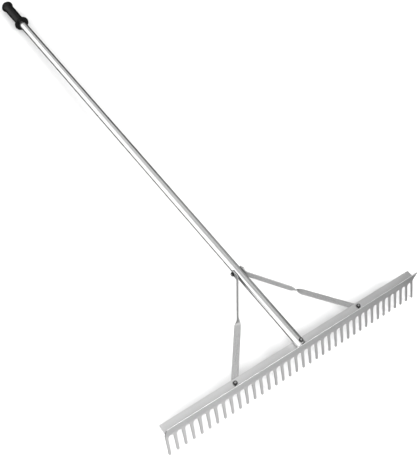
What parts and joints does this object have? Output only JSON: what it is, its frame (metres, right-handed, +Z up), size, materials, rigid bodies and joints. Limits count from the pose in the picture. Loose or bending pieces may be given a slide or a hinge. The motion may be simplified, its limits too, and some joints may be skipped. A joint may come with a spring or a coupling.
{
  "type": "leaf rake",
  "caption": "Wide rigid rake: straight aluminium comb head with a levelling edge, tube handle, two twisted strap braces and a moulded end grip",
  "frame": {"origin": "middle of the bounding box on the ground, with the rake lying on its tooth tips and on the rim of the grip's guard", "axes": "X runs along the head; +Y runs from the head to the grip, level with the ground; +Z is up. The handle slopes down 2.05 degrees towards the grip"},
  "size_m": [0.921, 1.8018, 0.1053],
  "materials": {
    "head_metal": "mill-finished extruded aluminium, fine lines along the head, light wear on the teeth",
    "tube_metal": "drawn aluminium tube, smooth satin with lengthwise draw lines",
    "brace_metal": "flat aluminium strap, satin, brushed along its length",
    "grip_plastic": "glossy black moulded vinyl",
    "bolt_steel": "zinc-plated steel, slightly dulled",
    "nut_steel": "dark plated steel",
    "washer_steel": "bright zinc plate",
    "collar_plastic": "dark nylon ring"
  },
  "bodies": {
    "root": {"rake_head": "head_metal", "handle_tube": "tube_metal", "handle_grip": "grip_plastic", "left_brace": "brace_metal", "right_brace": "brace_metal", "handle_bolt": "bolt_steel", "handle_bolt_washer": "washer_steel", "handle_bolt_nut": "nut_steel", "handle_nut_collar": "collar_plastic", "tie_bolt": "bolt_steel", "tie_bolt_washers": "washer_steel", "tie_bolt_nut": "nut_steel", "tie_nut_collar": "collar_plastic", "foot_bolts": "bolt_steel", "foot_bolt_washers": "washer_steel", "foot_bolt_nuts": "nut_steel", "foot_nut_collars": "collar_plastic"}
  },
  "joints": []
}
